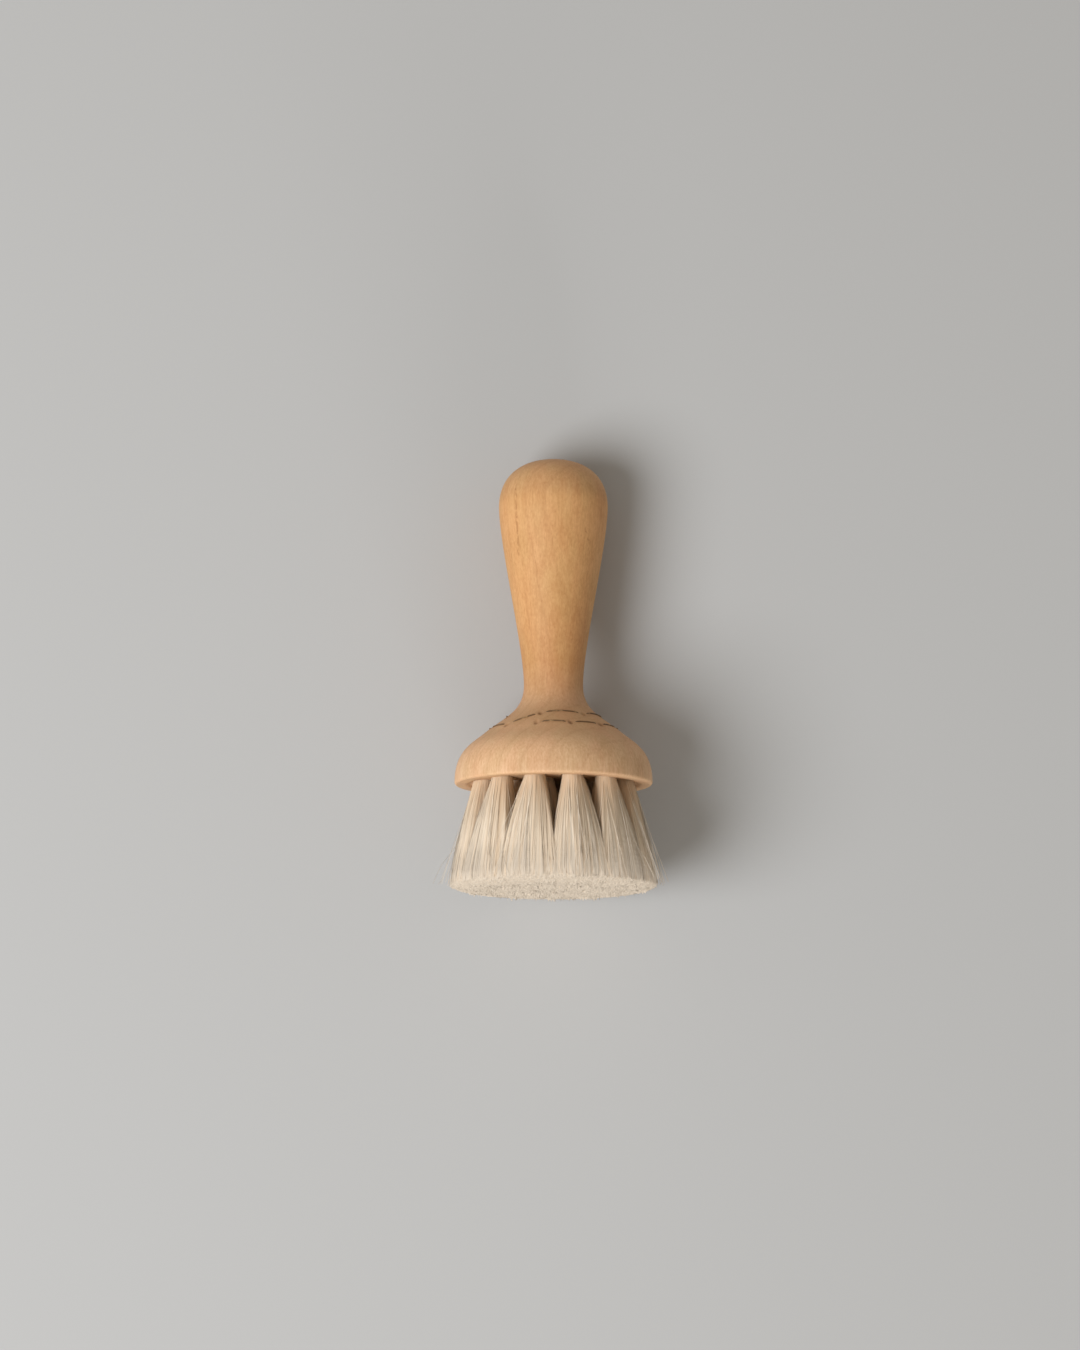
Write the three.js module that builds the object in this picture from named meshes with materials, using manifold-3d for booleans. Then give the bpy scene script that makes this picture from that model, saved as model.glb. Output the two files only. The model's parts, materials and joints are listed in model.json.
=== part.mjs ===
// Face brush: a turned birch handle, nineteen tufts of goat hair folded into sockets in its head,
// and the one wire that draws every tuft into its socket.
// Millimetres. The brush is built along its own axis: +Y towards the end of the handle, +Z on the
// side that ends up on top, y = 0 at the flat land under the rim. It is then laid on the floor,
// tilted until the rim and the knob both touch z = 0.

import * as THREE from 'three';
import { mergeVertices } from 'three/addons/utils/BufferGeometryUtils.js';
import Module from 'manifold-3d';

const wasm = await Module();
wasm.setup();

// Turned wood. Heights are along the axis, from the land under the rim.
const HEAD_DIAMETER = 50;
const WOOD_LENGTH = 83.6;
const EDGE_ROUND = 1.6;
const LAND_WIDTH = 1.7;
const HOLLOW_DEPTH = 0.4;
const SHOULDER_INSET = 7.2;
const SHOULDER_HEIGHT = 12.7;
const FLARE_ANGLE = 40;
const NECK_DIAMETER = 15;
const NECK_HEIGHT = 25.5;
const KNOB_DIAMETER = 27.8;
const KNOB_DROP = 12;

// How far each curve of the turned outline leans along its tangent before it bends away.
const RIM_PULL = 6.9;
const SHOULDER_PULL_DOWN = 3.7;
const SHOULDER_PULL_UP = 7;
const NECK_PULL_DOWN = 6.9;
const NECK_PULL_UP = 9.5;
const KNOB_PULL_DOWN = 9.5;
const KNOB_PULL_UP = 7;
const DOME_PULL = 9.4;

// Drilled holes: a socket from the underside and a wire hole from its end to the flare.
const OUTER_TUFTS = 12;
const INNER_TUFTS = 7;
const OUTER_FIRST_ANGLE = -45;
const INNER_FIRST_ANGLE = -66.4;
const OUTER_SOCKET_INSET = 6.8;
const RING_SPACING = 8.7;
const OUTER_LEAN = -1.8;
const INNER_LEAN = 3;
const SOCKET_DIAMETER = 5.2;
const SOCKET_HEADROOM = 1.2;

// Hair. The tips stand on a low dome with a round edge. A tuft opens fast below its socket and slowly
// near its tips, and its strands are locks of hair in two rings, bent once on the way.
const HAIR_LENGTH = 26.4;
const HAIR_DOME = 0.8;
const TIP_ROUND = 1.7;
const TIP_ROUND_WIDTH = 5;
const TIP_SPLAY = 1;
const TIP_SPLIT_SPLAY = 2.6;
const FAN_POWER = 1.6;
const OUTER_STRANDS = 12;
const INNER_STRANDS = 4;
const STRAND_SPLIT = 0.55;
const STRAND_BEND = 0.45;
const STRAND_GAP = 0.36;
const STRAND_RING_GAP = 0.6;
const STRAND_EDGE = 0.05;
const BAND_DEPTH = 2.4;
const BAND_THICKNESS = 1.2;
const BAND_WIDTH = 3.2;

// Folded end of a tuft, with the eye that the wire passes through.
const FOLD_BASE = 1.5;
const FOLD_THICKNESS = 1.6;
const FOLD_RISE = 1;

// Wire, and the air kept between pieces that touch.
const WIRE_DIAMETER = 0.5;
const WIRE_LEG_GAP = 0.8;
const WIRE_BEND = 0.6;
const CLEARANCE = 0.3;

// Facets.
const LATHE_SIDES = 36;
const SOCKET_SIDES = 10;
const HOLE_SIDES = 6;
const WIRE_SIDES = 4;
const EDGE_STEPS = 3;
const RIM_STEPS = 5;
const FLARE_STEPS = 7;
const GRIP_STEPS = 7;
const DOME_STEPS = 6;
const FOLD_STEPS = 3;
const BEND_STEPS = 2;
const STITCH_STEP = 10;
const OVERSHOOT = 3;
const TILT_HALVINGS = 50;
const MERGE_DISTANCE = 1e-5;

const BIRCH = { color: 0xc39668, roughness: 0.6, metalness: 0 };
const HAIR = { color: 0xcdbba3, roughness: 0.8, metalness: 0 };
const WIRE = { color: 0x5a4630, roughness: 0.45, metalness: 0.9 };

const headRadius = HEAD_DIAMETER / 2;
const neckRadius = NECK_DIAMETER / 2;
const knobRadius = KNOB_DIAMETER / 2;
const knobHeight = WOOD_LENGTH - KNOB_DROP;
const landOuter = headRadius - EDGE_ROUND;
const landInner = landOuter - LAND_WIDTH;
const socketRadius = SOCKET_DIAMETER / 2;
const bundleRadius = socketRadius - CLEARANCE;
const halfGap = STRAND_GAP / 2;
const halfRingGap = STRAND_RING_GAP / 2;
const rootReach = bundleRadius * Math.cos(Math.PI / SOCKET_SIDES) - STRAND_EDGE;
const wireRadius = WIRE_DIAMETER / 2;
const legInHole = WIRE_LEG_GAP / 2 + wireRadius;
const wireHoleRadius = legInHole + wireRadius + CLEARANCE;

// Heights along a tuft's hole: the fold starts two clearances above the band, which doesn't lean
// with the tuft, and the socket ends above the fold.
const bandHigh = BAND_DEPTH + BAND_THICKNESS;
const foldHalf = Math.sqrt(bundleRadius ** 2 - (FOLD_THICKNESS / 2) ** 2);
const foldLow = bandHigh + 2 * CLEARANCE;
const eyeHeight = foldLow + FOLD_BASE + FOLD_RISE;
const foldTop = eyeHeight + foldHalf;
const socketDepth = foldTop + SOCKET_HEADROOM;

// Outline of the turned wood, from the middle of the underside to the end of the handle.
function turnedProfile() {
  const point = (radius, height) => new THREE.Vector2(radius, height);
  const slope = THREE.MathUtils.degToRad(FLARE_ANGLE);
  const flareDirection = point(-Math.cos(slope), Math.sin(slope));
  const rim = point(headRadius, EDGE_ROUND);
  const shoulder = point(headRadius - SHOULDER_INSET, SHOULDER_HEIGHT);
  const neck = point(neckRadius, NECK_HEIGHT);
  const knob = point(knobRadius, knobHeight);
  const end = point(0, WOOD_LENGTH);
  const curves = [
    [new THREE.EllipseCurve(landOuter, EDGE_ROUND, EDGE_ROUND, EDGE_ROUND, -Math.PI / 2, 0), EDGE_STEPS],
    [new THREE.CubicBezierCurve(
      rim,
      point(rim.x, rim.y + RIM_PULL),
      shoulder.clone().addScaledVector(flareDirection, -SHOULDER_PULL_DOWN),
      shoulder,
    ), RIM_STEPS],
    [new THREE.CubicBezierCurve(
      shoulder,
      shoulder.clone().addScaledVector(flareDirection, SHOULDER_PULL_UP),
      point(neck.x, neck.y - NECK_PULL_DOWN),
      neck,
    ), FLARE_STEPS],
    [new THREE.CubicBezierCurve(
      neck,
      point(neck.x, neck.y + NECK_PULL_UP),
      point(knob.x, knob.y - KNOB_PULL_DOWN),
      knob,
    ), GRIP_STEPS],
    [new THREE.CubicBezierCurve(
      knob,
      point(knob.x, knob.y + KNOB_PULL_UP),
      point(DOME_PULL, end.y),
      end,
    ), DOME_STEPS],
  ];
  const hollowRadius = landInner - HOLLOW_DEPTH;
  const underside = [point(0, HOLLOW_DEPTH), point(hollowRadius, HOLLOW_DEPTH), point(landInner, 0)];
  const turned = curves.flatMap(([curve, steps]) => curve.getPoints(steps).slice(1));
  return [...underside, point(landOuter, 0), ...turned];
}

const profile = turnedProfile();
const flare = profile.filter((point) => point.y >= EDGE_ROUND && point.y <= NECK_HEIGHT);

// Height of the flare at a radius, and the direction that faces away from the wood there.
function flareAt(radius) {
  const index = flare.findIndex((point) => point.x <= radius);
  const below = flare[index - 1];
  const above = flare[index];
  const share = (below.x - radius) / (below.x - above.x);
  const height = THREE.MathUtils.lerp(below.y, above.y, share);
  const facing = new THREE.Vector2(above.y - below.y, below.x - above.x).normalize();
  return { height, facing };
}

// Angles turn about the axis from the upper side, positive towards +X.
function polar(radius, angle, height) {
  return new THREE.Vector3(radius * Math.sin(angle), height, radius * Math.cos(angle));
}

function solidOf(geometry) {
  const bare = geometry.clone();
  bare.deleteAttribute('normal');
  bare.deleteAttribute('uv');
  const merged = mergeVertices(bare, MERGE_DISTANCE);
  const corners = Array.from(merged.index.array);
  const starts = Array.from({ length: corners.length / 3 }, (_, face) => 3 * face);
  const triangles = starts.map((start) => corners.slice(start, start + 3));
  const whole = triangles.filter(([a, b, c]) => a !== b && b !== c && c !== a);
  return new wasm.Manifold(new wasm.Mesh({
    numProp: 3,
    vertProperties: new Float32Array(merged.attributes.position.array),
    triVerts: new Uint32Array(whole.flat()),
  }));
}

function geometryOf(solid) {
  const { vertProperties, triVerts } = solid.getMesh();
  const geometry = new THREE.BufferGeometry();
  geometry.setAttribute('position', new THREE.BufferAttribute(vertProperties, 3));
  geometry.setIndex(new THREE.BufferAttribute(triVerts, 1));
  geometry.computeVertexNormals();
  return geometry;
}

function namedMesh(name, geometry, finish) {
  const mesh = new THREE.Mesh(geometry, new THREE.MeshStandardMaterial(finish));
  mesh.name = name;
  return mesh;
}

// A round rod along Y.
function rod(radius, low, high, sides) {
  return new THREE.CylinderGeometry(radius, radius, high - low, sides).translate(0, (low + high) / 2, 0);
}

// A ring of tufts. Each tuft has a frame at the middle of its socket's mouth: X across the ring,
// Y up along the leaning hole, Z away from the brush's axis. The middle of its tips is the middle of
// their share of the brush's end, by area along the radius.
function tuftRing({ name, count, firstAngle, mouthRadius, lean, tipInner, tipOuter }) {
  const holeRadius = mouthRadius + lean;
  const holeHeight = flareAt(holeRadius).height;
  const bandMiddle = BAND_DEPTH + BAND_THICKNESS / 2;
  const spacing = 2 * Math.PI / count;
  const tufts = Array.from({ length: count }, (_, index) => {
    const angle = THREE.MathUtils.degToRad(firstAngle) - index * spacing;
    const mouth = polar(mouthRadius, angle, 0);
    const wireHole = polar(holeRadius, angle, holeHeight);
    const across = new THREE.Vector3(Math.cos(angle), 0, -Math.sin(angle));
    const along = wireHole.clone().sub(mouth).normalize();
    const outward = across.clone().cross(along);
    const frame = new THREE.Matrix4().makeBasis(across, along, outward).setPosition(mouth);
    return { angle, frame, holeRadius, holeLength: wireHole.distanceTo(mouth) };
  });
  const bandRadius = mouthRadius + lean * bandMiddle / holeHeight;
  const tipMiddle = (2 / 3) * (tipOuter ** 3 - tipInner ** 3) / (tipOuter ** 2 - tipInner ** 2);
  return { name, tufts, mouthRadius, bandRadius, tipInner, tipOuter, tipMiddle, halfAngle: spacing / 2 };
}

const outerMouth = headRadius - OUTER_SOCKET_INSET;
const innerMouth = outerMouth - RING_SPACING;
const tipRadius = headRadius + TIP_SPLAY;
const tipSplit = (outerMouth + innerMouth) / 2 + TIP_SPLIT_SPLAY;
const outerRing = tuftRing({
  name: 'outer',
  count: OUTER_TUFTS,
  firstAngle: OUTER_FIRST_ANGLE,
  mouthRadius: outerMouth,
  lean: OUTER_LEAN,
  tipInner: tipSplit + halfGap,
  tipOuter: tipRadius,
});
const innerRing = tuftRing({
  name: 'inner',
  count: INNER_TUFTS,
  firstAngle: INNER_FIRST_ANGLE,
  mouthRadius: innerMouth,
  lean: INNER_LEAN,
  tipInner: 0,
  tipOuter: tipSplit - halfGap,
});
const rings = [innerRing, outerRing];

// The band of the head that joins a ring's tufts. It lies in a channel inside the wood.
function band(ring, clearance) {
  const inner = ring.bandRadius - BAND_WIDTH / 2 - clearance;
  const outer = ring.bandRadius + BAND_WIDTH / 2 + clearance;
  const low = BAND_DEPTH - clearance;
  const high = bandHigh + clearance;
  const corners = [[inner, low], [outer, low], [outer, high], [inner, high], [inner, low]];
  return new THREE.LatheGeometry(corners.map(([x, y]) => new THREE.Vector2(x, y)), LATHE_SIDES);
}

// Turned wood with its sockets, wire holes and band channels. A flat facet faces the floor.
function turnedHandle() {
  let wood = solidOf(new THREE.LatheGeometry(profile, LATHE_SIDES, Math.PI / LATHE_SIDES));
  for (const ring of rings) {
    for (const { frame, holeLength } of ring.tufts) {
      const socket = rod(socketRadius, -OVERSHOOT, socketDepth, SOCKET_SIDES);
      const wireHole = rod(wireHoleRadius, socketDepth - CLEARANCE, holeLength + OVERSHOOT, HOLE_SIDES);
      wood = wood.subtract(solidOf(socket.applyMatrix4(frame)));
      wood = wood.subtract(solidOf(wireHole.applyMatrix4(frame)));
    }
    wood = wood.subtract(solidOf(band(ring, CLEARANCE)));
  }
  return geometryOf(wood);
}

// Where a ray from the middle of a tuft's tips leaves the share of the brush's end that the tuft
// fills: a sector between two arcs, seen along the axis. Turn 0 is across, a quarter turn outward.
function tipReach({ tipInner, tipOuter, tipMiddle, halfAngle }, turn) {
  const across = Math.abs(Math.cos(turn));
  const outward = Math.sin(turn);
  const offset = tipMiddle ** 2 * (outward ** 2 - 1);
  const toSide = tipMiddle * Math.sin(halfAngle) - halfGap;
  const sideRate = across * Math.cos(halfAngle) - outward * Math.sin(halfAngle);
  const reaches = [-tipMiddle * outward + Math.sqrt(offset + tipOuter ** 2)];
  if (sideRate > 0) reaches.push(toSide / sideRate);
  if (outward < 0 && offset + tipInner ** 2 > 0) {
    reaches.push(-tipMiddle * outward - Math.sqrt(offset + tipInner ** 2));
  }
  return Math.min(...reaches);
}

// How far below the land the trimmed hair ends at a distance from the axis.
function tipDepth(radius) {
  const domed = HAIR_DOME * (1 - (radius / tipRadius) ** 2);
  const round = THREE.MathUtils.clamp(1 - (tipRadius - radius) / TIP_ROUND_WIDTH, 0, 1);
  return HAIR_LENGTH + domed - TIP_ROUND * (1 - Math.sqrt(1 - round ** 2));
}

// The strands of a tuft, seen along it: four-sided wedges round three-sided ones. Each corner has its
// turn about the tuft's middle, its share of the tuft's reach that way, and the steps outward and
// aside that leave the gap to the next strand. The corners go round counterclockwise.
function strandSections() {
  const wedges = (count) => Array.from({ length: count }, (_, index) => {
    return { start: 2 * Math.PI * index / count, end: 2 * Math.PI * (index + 1) / count };
  });
  const outer = wedges(OUTER_STRANDS).map(({ start, end }) => [
    { turn: start, share: STRAND_SPLIT, outward: halfRingGap, aside: halfGap },
    { turn: start, share: 1, outward: 0, aside: halfGap },
    { turn: end, share: 1, outward: 0, aside: -halfGap },
    { turn: end, share: STRAND_SPLIT, outward: halfRingGap, aside: -halfGap },
  ]);
  const apex = halfGap / Math.sin(Math.PI / INNER_STRANDS);
  const inner = wedges(INNER_STRANDS).map(({ start, end }) => [
    { turn: (start + end) / 2, share: 0, outward: apex, aside: 0 },
    { turn: start, share: STRAND_SPLIT, outward: -halfRingGap, aside: halfGap },
    { turn: end, share: STRAND_SPLIT, outward: -halfRingGap, aside: -halfGap },
  ]);
  return [...outer, ...inner];
}

const sections = strandSections();

// A strand's corner across its tuft, where the tuft's reach depends on the turn.
function cornerSpot({ turn, share, outward, aside }, reachAt) {
  const shifted = turn + Math.asin(aside / (share * reachAt(turn) + outward));
  const distance = share * reachAt(shifted) + outward;
  return new THREE.Vector2(Math.cos(shifted), Math.sin(shifted)).multiplyScalar(distance);
}

// A regular outline of few corners about the middle, counterclockwise.
function polygon(sides, radius) {
  return Array.from({ length: sides }, (_, corner) => {
    const turn = 2 * Math.PI * corner / sides;
    return new THREE.Vector2(Math.cos(turn), Math.sin(turn)).multiplyScalar(radius);
  });
}

// The corners of all strands of a tuft at a part of the hair's length. The tuft opens from its
// bundle to its sector, and its middle moves out to the middle of its tips.
function strandRow(ring, angle, part) {
  const opened = 1 - (1 - part) ** FAN_POWER;
  const middle = THREE.MathUtils.lerp(ring.mouthRadius, ring.tipMiddle, part);
  const reachAt = (turn) => THREE.MathUtils.lerp(rootReach, tipReach(ring, turn), opened);
  const across = new THREE.Vector3(Math.cos(angle), 0, -Math.sin(angle));
  return sections.flat().map((corner) => {
    const spot = cornerSpot(corner, reachAt);
    const point = polar(middle + spot.y, angle, 0).addScaledVector(across, spot.x);
    return point.setY(-part * tipDepth(point.length()));
  });
}

// The hair of one tuft: a round bundle in the mouth of its socket, and the strands that fan out of
// the bundle's end. Every strand keeps its turn about the tuft's middle, so that no two cross.
function tuftHair(ring, { angle, frame }) {
  const placed = (spot, height) => new THREE.Vector3(spot.x, height, spot.y).applyMatrix4(frame);
  const rim = polygon(SOCKET_SIDES, bundleRadius);
  const roots = sections.map((section) => section.map((corner) => cornerSpot(corner, () => rootReach)));
  const highEnd = rim.map((spot) => placed(spot, bandHigh));
  const lowEnd = rim.map((spot) => placed(spot, HOLLOW_DEPTH));
  const rows = [
    roots.flat().map((spot) => placed(spot, HOLLOW_DEPTH)),
    strandRow(ring, angle, STRAND_BEND),
    strandRow(ring, angle, 1),
  ];
  const rowLength = sections.flat().length;
  const high = rim.length + rows.flat().length;
  const lastRow = (rows.length - 1) * rowLength;
  const faces = THREE.ShapeUtils.triangulateShape(rim, roots);
  for (let corner = 0; corner < rim.length; corner += 1) {
    const next = (corner + 1) % rim.length;
    faces.push([corner, high + corner, high + next], [corner, high + next, next]);
    if (corner > 1) faces.push([high, high + corner, high + corner - 1]);
  }
  let first = rim.length;
  for (const { length } of sections) {
    for (let corner = 0; corner < length; corner += 1) {
      const here = first + corner;
      const next = first + (corner + 1) % length;
      for (let row = 0; row < lastRow; row += rowLength) {
        const below = row + rowLength;
        faces.push([here + row, next + row, next + below], [here + row, next + below, here + below]);
      }
      if (corner > 1) faces.push([first + lastRow, here - 1 + lastRow, here + lastRow]);
    }
    first += length;
  }
  const points = [...lowEnd, ...rows.flat(), ...highEnd];
  const geometry = new THREE.BufferGeometry().setFromPoints(points);
  return geometry.setIndex(faces.flat());
}

// All the hair of one ring that hangs out of its sockets, on the band that joins it.
function ringHair(ring) {
  const tufts = ring.tufts.map((tuft) => solidOf(tuftHair(ring, tuft)));
  return geometryOf(wasm.Manifold.union([solidOf(band(ring, 0)), ...tufts]));
}

// Folded end of a tuft in its own frame: a round bundle that narrows to the fold over the wire.
function foldedEnd() {
  const arch = new THREE.Shape();
  arch.moveTo(-foldHalf, foldLow + FOLD_BASE / 2);
  arch.lineTo(foldHalf, foldLow + FOLD_BASE / 2);
  arch.absarc(0, eyeHeight, foldHalf, 0, Math.PI);
  const eye = new THREE.Path();
  eye.absarc(0, eyeHeight, wireRadius + CLEARANCE, 0, 2 * Math.PI);
  arch.holes.push(eye);
  const settings = { depth: FOLD_THICKNESS, bevelEnabled: false, curveSegments: FOLD_STEPS };
  const fold = new THREE.ExtrudeGeometry(arch, settings).translate(0, 0, -FOLD_THICKNESS / 2);
  const base = rod(bundleRadius, foldLow, foldLow + FOLD_BASE, SOCKET_SIDES);
  return geometryOf(solidOf(base).add(solidOf(fold.rotateY(Math.PI / 2))));
}

// The wire in one tuft's frame, from the wire hole's mouth on the +X side, down through the eye
// and up again on the -X side.
function wireDip({ frame, holeLength }) {
  const legAtFold = FOLD_THICKNESS / 2 + CLEARANCE + wireRadius;
  const bendMiddle = [legAtFold - WIRE_BEND, eyeHeight + WIRE_BEND];
  const bend = new THREE.EllipseCurve(...bendMiddle, WIRE_BEND, WIRE_BEND, 0, -Math.PI / 2, true);
  const down = [
    new THREE.Vector2(legInHole, holeLength - WIRE_DIAMETER),
    new THREE.Vector2(legInHole, socketDepth),
    new THREE.Vector2(legAtFold, foldTop),
    ...bend.getPoints(BEND_STEPS),
  ];
  const up = down.toReversed().map(({ x, y }) => new THREE.Vector2(-x, y));
  return [...down, ...up].map(({ x, y }) => new THREE.Vector3(x, y, 0).applyMatrix4(frame));
}

// The wire on the flare between two holes, just clear of the wood.
function wireStitch(from, to) {
  const leave = legInHole / from.holeRadius;
  const arrive = legInHole / to.holeRadius;
  const turned = THREE.MathUtils.euclideanModulo(from.angle - to.angle, 2 * Math.PI);
  const start = from.angle - leave;
  const end = from.angle - turned + arrive;
  const steps = Math.ceil((start - end) / THREE.MathUtils.degToRad(STITCH_STEP));
  return Array.from({ length: steps + 1 }, (_, step) => {
    const radius = THREE.MathUtils.lerp(from.holeRadius, to.holeRadius, step / steps);
    const angle = THREE.MathUtils.lerp(start, end, step / steps);
    const { height, facing } = flareAt(radius);
    const lift = wireRadius + CLEARANCE;
    return polar(radius + lift * facing.x, angle, height + lift * facing.y);
  });
}

// Least air between two stretches of the wire that are further apart along it than one bend.
function leastGap(points) {
  const route = new THREE.CurvePath();
  points.slice(1).forEach((point, index) => route.add(new THREE.LineCurve3(points[index], point)));
  const step = wireRadius;
  const bendLength = Math.PI * WIRE_BEND;
  const samples = route.getSpacedPoints(Math.round(route.getLength() / step));
  const apart = Math.ceil(bendLength / step);
  let least = Infinity;
  for (let first = 0; first < samples.length; first += 1) {
    for (let second = first + apart; second < samples.length; second += 1) {
      least = Math.min(least, samples[first].distanceTo(samples[second]));
    }
  }
  return least - WIRE_DIAMETER;
}

// A closed tube of few sides through the points, carried without twist.
function tube(points, radius, sides) {
  const tangents = points.map((point, index) => {
    const before = points[Math.max(index - 1, 0)];
    const after = points[Math.min(index + 1, points.length - 1)];
    return after.clone().sub(before).normalize();
  });
  const side = new THREE.Vector3(0, 0, 1).projectOnPlane(tangents[0]).normalize();
  const positions = [];
  points.forEach((point, index) => {
    side.projectOnPlane(tangents[index]).normalize();
    const other = tangents[index].clone().cross(side);
    for (let corner = 0; corner < sides; corner += 1) {
      const turn = 2 * Math.PI * corner / sides;
      const spot = point.clone();
      spot.addScaledVector(side, radius * Math.cos(turn)).addScaledVector(other, radius * Math.sin(turn));
      positions.push(...spot);
    }
  });
  const faces = [];
  const last = (points.length - 1) * sides;
  for (let ring = 0; ring < last; ring += sides) {
    for (let corner = 0; corner < sides; corner += 1) {
      const next = (corner + 1) % sides;
      faces.push(ring + corner, ring + next, ring + sides + next);
      faces.push(ring + corner, ring + sides + next, ring + sides + corner);
    }
  }
  for (let corner = 1; corner < sides - 1; corner += 1) {
    faces.push(0, corner + 1, corner);
    faces.push(last, last + corner, last + corner + 1);
  }
  const geometry = new THREE.BufferGeometry();
  geometry.setAttribute('position', new THREE.Float32BufferAttribute(positions, 3));
  geometry.setIndex(faces);
  geometry.computeVertexNormals();
  return geometry;
}

// One wire, first round the inner ring, then over to the outer ring and round that.
function drawingWire() {
  const order = [...innerRing.tufts, ...outerRing.tufts];
  const points = order.flatMap((tuft, index) => {
    const stitch = index + 1 < order.length ? wireStitch(tuft, order[index + 1]) : [];
    return [...wireDip(tuft), ...stitch];
  });
  console.log(`drawing wire: least gap to itself ${leastGap(points).toFixed(2)} mm`);
  return tube(points, wireRadius, WIRE_SIDES);
}

// The tilt at which the rim and the knob, with their facets, reach equally low.
function restingTilt() {
  const facetShare = Math.cos(Math.PI / LATHE_SIDES);
  const reach = (points, tilt) => Math.max(...points.map(
    (point) => point.y * Math.sin(tilt) + point.x * facetShare * Math.cos(tilt),
  ));
  const headPoints = profile.filter((point) => point.y < NECK_HEIGHT);
  const gripPoints = profile.filter((point) => point.y >= NECK_HEIGHT);
  let low = 0;
  let high = Math.PI / 4;
  for (let halving = 0; halving < TILT_HALVINGS; halving += 1) {
    const middle = (low + high) / 2;
    if (reach(headPoints, middle) > reach(gripPoints, middle)) low = middle;
    else high = middle;
  }
  return low;
}

const brush = new THREE.Group();
brush.add(namedMesh('turned_handle', turnedHandle(), BIRCH));
brush.add(namedMesh('drawing_wire', drawingWire(), WIRE));
for (const ring of rings) {
  brush.add(namedMesh(`${ring.name}_hair`, ringHair(ring), HAIR));
  ring.tufts.forEach(({ frame }, index) => {
    const number = String(index + 1).padStart(2, '0');
    const fold = namedMesh(`${ring.name}_tuft_fold_${number}`, foldedEnd(), HAIR);
    fold.applyMatrix4(frame);
    brush.add(fold);
  });
}

// Lay the brush down, with the middle of its box's base at the origin.
brush.rotation.x = -restingTilt();
const laid = new THREE.Box3().setFromObject(brush, true);
const middle = laid.getCenter(new THREE.Vector3());
brush.position.set(-middle.x, -middle.y, -laid.min.z);

const faceBrush = new THREE.Group();
faceBrush.add(brush);
export default faceBrush;
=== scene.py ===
import json

import bpy
import numpy as np
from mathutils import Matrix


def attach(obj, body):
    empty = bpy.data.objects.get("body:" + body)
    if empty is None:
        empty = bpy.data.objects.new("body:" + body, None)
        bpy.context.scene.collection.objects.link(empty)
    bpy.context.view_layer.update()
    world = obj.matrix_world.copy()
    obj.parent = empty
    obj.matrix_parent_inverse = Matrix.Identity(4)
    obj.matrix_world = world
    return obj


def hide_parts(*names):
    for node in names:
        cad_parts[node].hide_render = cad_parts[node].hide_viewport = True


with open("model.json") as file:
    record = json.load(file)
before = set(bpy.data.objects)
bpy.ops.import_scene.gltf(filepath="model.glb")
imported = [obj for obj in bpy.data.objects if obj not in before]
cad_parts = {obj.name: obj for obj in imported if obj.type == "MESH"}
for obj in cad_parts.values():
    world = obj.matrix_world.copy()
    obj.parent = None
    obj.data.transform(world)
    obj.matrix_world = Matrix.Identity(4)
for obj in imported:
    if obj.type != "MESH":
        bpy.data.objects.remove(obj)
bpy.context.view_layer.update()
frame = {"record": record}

# Turned handle: knob, grip, neck, flare and head are one piece of birch, turned between centres,
# sanded fine and oiled. The head is drilled with a socket for each tuft, and a thin hole for the
# wire runs on from the end of each socket to the flare.

# Sizes of the brush are in millimetres, and heights start at the underside of the head.
HEAD_RADIUS = 25.0
WOOD_LENGTH = 83.6
EDGE_ROUND = 0.7
LAND_WIDTH = 2.6
HOLLOW_DEPTH = 0.4
SHOULDER_RADIUS = 17.8
SHOULDER_HEIGHT = 12.7
FLARE_ANGLE = 40
NECK_RADIUS = 7.5
NECK_HEIGHT = 25.5
KNOB_RADIUS = 13.9
KNOB_HEIGHT = 71.6

# How far each curve of the outline is drawn straight on from its ends before it bends.
RIM_PULL = 7.8
SHOULDER_PULL_DOWN = 3.7
SHOULDER_PULL_UP = 7.0
NECK_PULL_DOWN = 6.9
NECK_PULL_UP = 9.5
KNOB_PULL_DOWN = 9.5
KNOB_PULL_UP = 7.0
DOME_PULL = 9.4

# Steps of the mesh, closer where the holes come out. The last rows of the rim lie near the outer
# holes and are drilled with the flare.
COLUMNS = 576
HOLLOW_STEPS = 36
LAND_STEPS = 3
EDGE_STEPS = 8
RIM_STEPS = 20
FLARE_STEPS = 44
GRIP_STEPS = 28
DOME_STEPS = 20
DRILLED_RIM_ROWS = 4


def bezier(start, leave, arrive, end, steps):
    """A cubic curve without its first point: (1-t)^3 start + 3(1-t)^2 t leave + 3(1-t) t^2 arrive
    + t^3 end, for t in even steps up to 1."""
    t = np.linspace(0, 1, steps + 1)[1:, None]
    s = 1 - t
    start, leave, arrive, end = (np.array(point, float) for point in (start, leave, arrive, end))
    return s**3 * start + 3 * s**2 * t * leave + 3 * s * t**2 * arrive + t**3 * end


land_outer = HEAD_RADIUS - EDGE_ROUND
land_inner = land_outer - LAND_WIDTH
hollow_radius = land_inner - HOLLOW_DEPTH
flare_slope = np.radians(FLARE_ANGLE)
flare_way = np.array([-np.cos(flare_slope), np.sin(flare_slope)])
shoulder = np.array([SHOULDER_RADIUS, SHOULDER_HEIGHT])
edge_turn = np.linspace(0, np.pi / 2, EDGE_STEPS + 1)[1:]

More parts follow.
